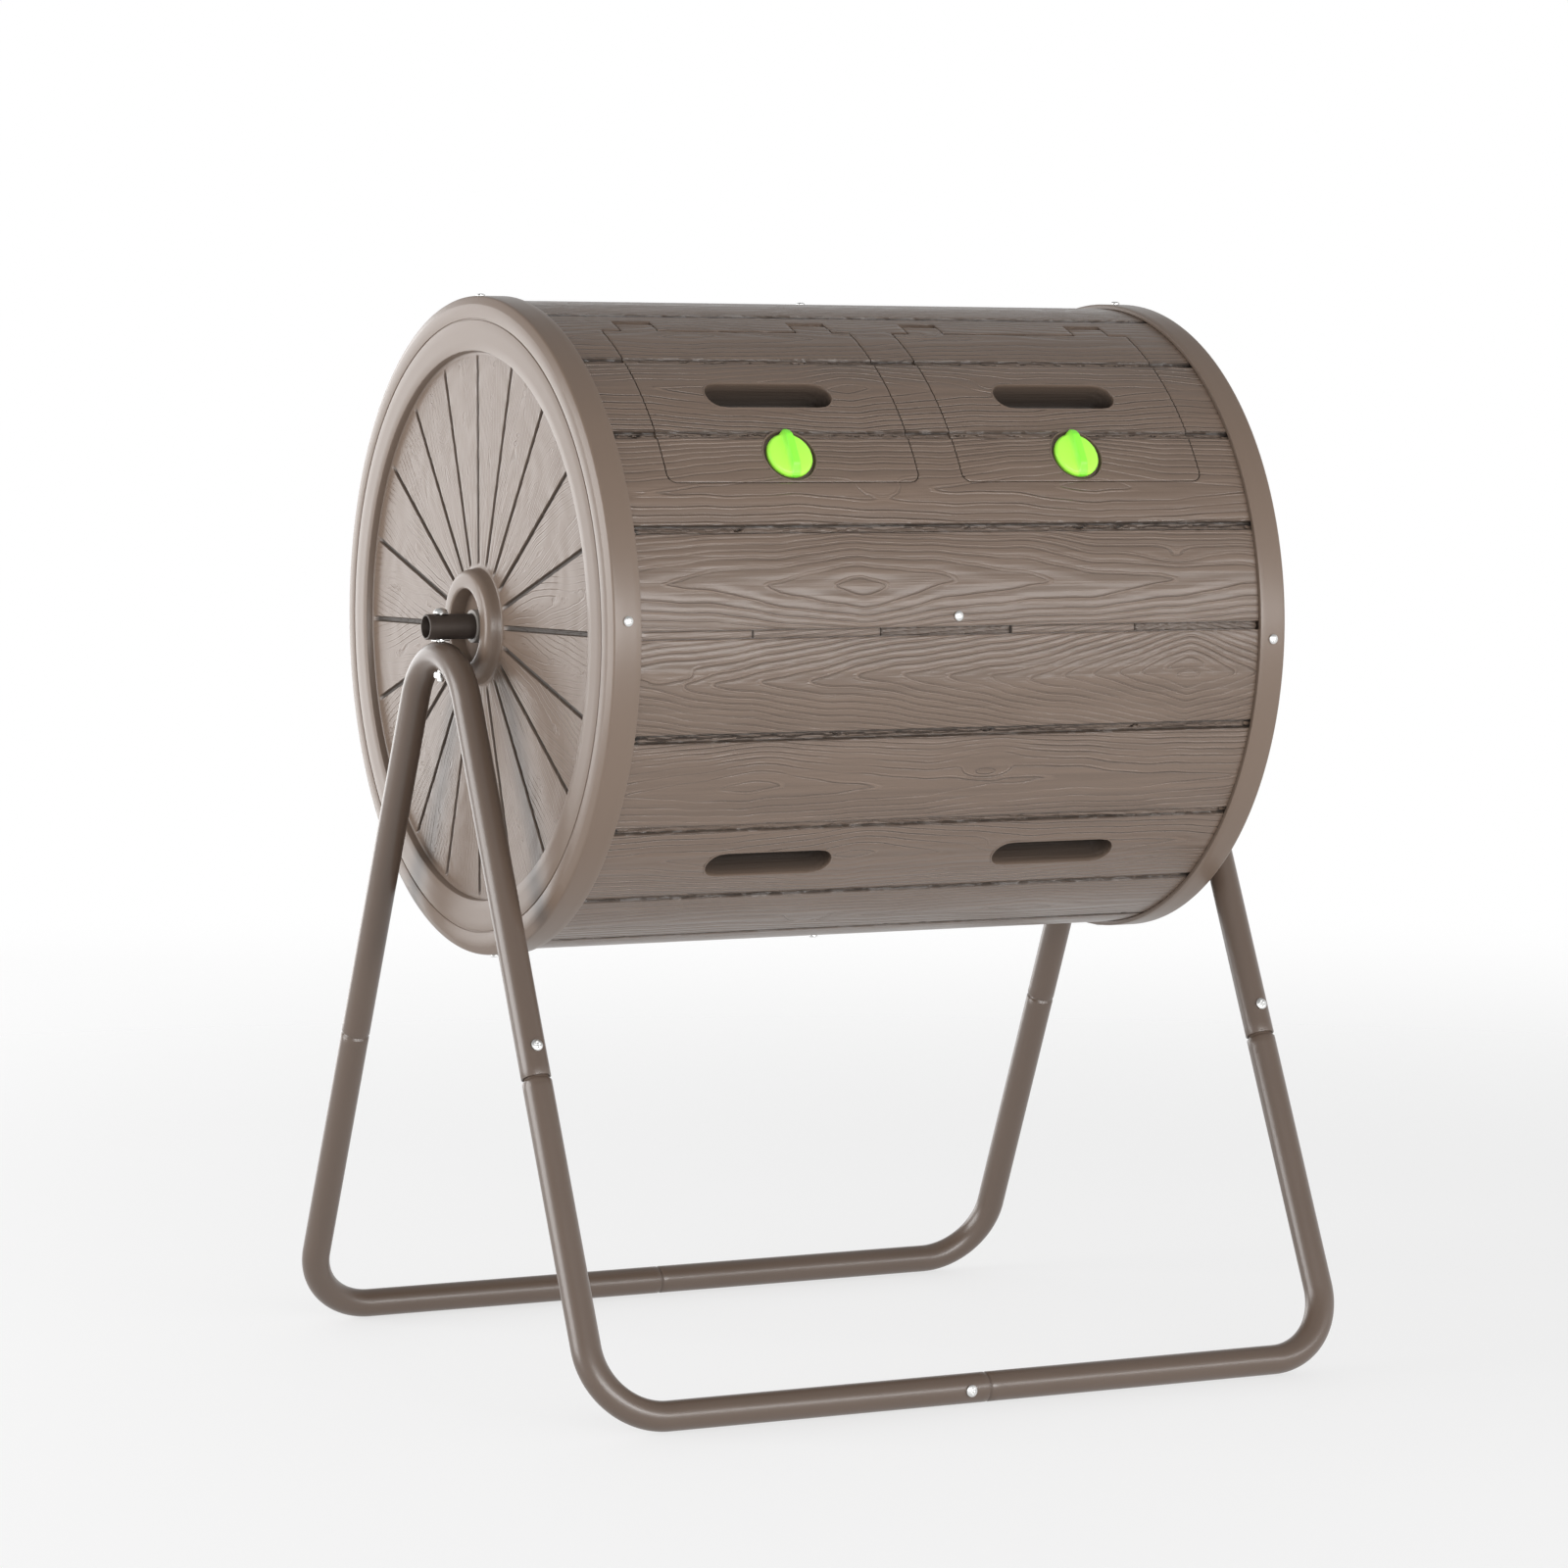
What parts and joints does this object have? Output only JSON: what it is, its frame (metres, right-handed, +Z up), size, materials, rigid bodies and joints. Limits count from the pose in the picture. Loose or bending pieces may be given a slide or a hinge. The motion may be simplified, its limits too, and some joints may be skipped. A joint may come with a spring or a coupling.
{
  "type": "compost tumbler",
  "caption": "Wood-look drum with two chambers, hinged doors and quarter-turn knobs, turning on an axle in a bent-tube stand.",
  "frame": {"origin": "on the ground, under the middle of the drum", "axes": "+Z up, +X along the drum axis to the right as seen from the doors, -Y towards the doors"},
  "size_m": [0.736, 0.6704, 0.9368],
  "materials": {
    "wood_look_skin": "grey-brown moulded plastic with embossed wood grain",
    "end_cap": "grey-brown moulded plastic with radial planks",
    "stand_tube": "satin taupe powder coat",
    "axle_steel": "dark grey-brown coated tube",
    "zinc_fastener": "bright zinc plate",
    "lime_knob": "satin lime green plastic",
    "bush": "grey bearing plastic",
    "inner_plastic": "dark moulded plastic"
  },
  "bodies": {
    "stand": {"crown_tube_left": "stand_tube", "lower_tube_front_left": "stand_tube", "lower_tube_back_left": "stand_tube", "leg_screw_front_left": "zinc_fastener", "leg_screw_back_left": "zinc_fastener", "axle_bolt_left": "zinc_fastener", "saddle_washer_left": "zinc_fastener", "axle_nut_left": "zinc_fastener", "crown_tube_right": "stand_tube", "lower_tube_front_right": "stand_tube", "lower_tube_back_right": "stand_tube", "leg_screw_front_right": "zinc_fastener", "leg_screw_back_right": "zinc_fastener", "axle_bolt_right": "zinc_fastener", "saddle_washer_right": "zinc_fastener", "axle_nut_right": "zinc_fastener", "rail_screw_front": "zinc_fastener", "rail_screw_back": "zinc_fastener", "axle_tube": "axle_steel"},
    "drum": {"end_cap_left": "end_cap", "axle_bush_left": "bush", "band_screw_left_1": "zinc_fastener", "band_screw_left_2": "zinc_fastener", "band_screw_left_3": "zinc_fastener", "band_screw_left_4": "zinc_fastener", "end_cap_right": "end_cap", "axle_bush_right": "bush", "band_screw_right_1": "zinc_fastener", "band_screw_right_2": "zinc_fastener", "band_screw_right_3": "zinc_fastener", "band_screw_right_4": "zinc_fastener", "panel_front_upper": "wood_look_skin", "panel_back_upper": "wood_look_skin", "panel_back_lower": "wood_look_skin", "panel_front_lower": "wood_look_skin", "mid_screw_1": "zinc_fastener", "mid_screw_2": "zinc_fastener", "mid_screw_3": "zinc_fastener", "mid_screw_4": "zinc_fastener", "divider_disc": "inner_plastic", "hinge_pin_left_1": "zinc_fastener", "hinge_pin_left_2": "zinc_fastener", "hinge_pin_right_1": "zinc_fastener", "hinge_pin_right_2": "zinc_fastener"},
    "door_left": {"door_left": "wood_look_skin"},
    "door_right": {"door_right": "wood_look_skin"},
    "knob_left": {"knob_left": "lime_knob", "latch_cam_left": "inner_plastic", "cam_screw_left": "zinc_fastener"},
    "knob_right": {"knob_right": "lime_knob", "latch_cam_right": "inner_plastic", "cam_screw_right": "zinc_fastener"}
  },
  "joints": [
    {"name": "drum_spin", "type": "hinge", "parent": "stand", "child": "drum", "pos_m": [0, 0, 0.6504], "axis": [1, 0, 0], "continuous": true},
    {"name": "door_left_hinge", "type": "hinge", "parent": "drum", "child": "door_left", "pos_m": [-0.139, -0.10755, 0.90132], "axis": [-1, 0, 0], "range_deg": [0, 105]},
    {"name": "door_right_hinge", "type": "hinge", "parent": "drum", "child": "door_right", "pos_m": [0.139, -0.10755, 0.90132], "axis": [-1, 0, 0], "range_deg": [0, 105]},
    {"name": "knob_left_turn", "type": "hinge", "parent": "door_left", "child": "knob_left", "pos_m": [-0.1385, -0.23797, 0.79795], "axis": [0, 0.8499, -0.527], "range_deg": [0, 90]},
    {"name": "knob_right_turn", "type": "hinge", "parent": "door_right", "child": "knob_right", "pos_m": [0.1385, -0.23797, 0.79795], "axis": [0, 0.8499, -0.527], "range_deg": [0, 90]}
  ]
}
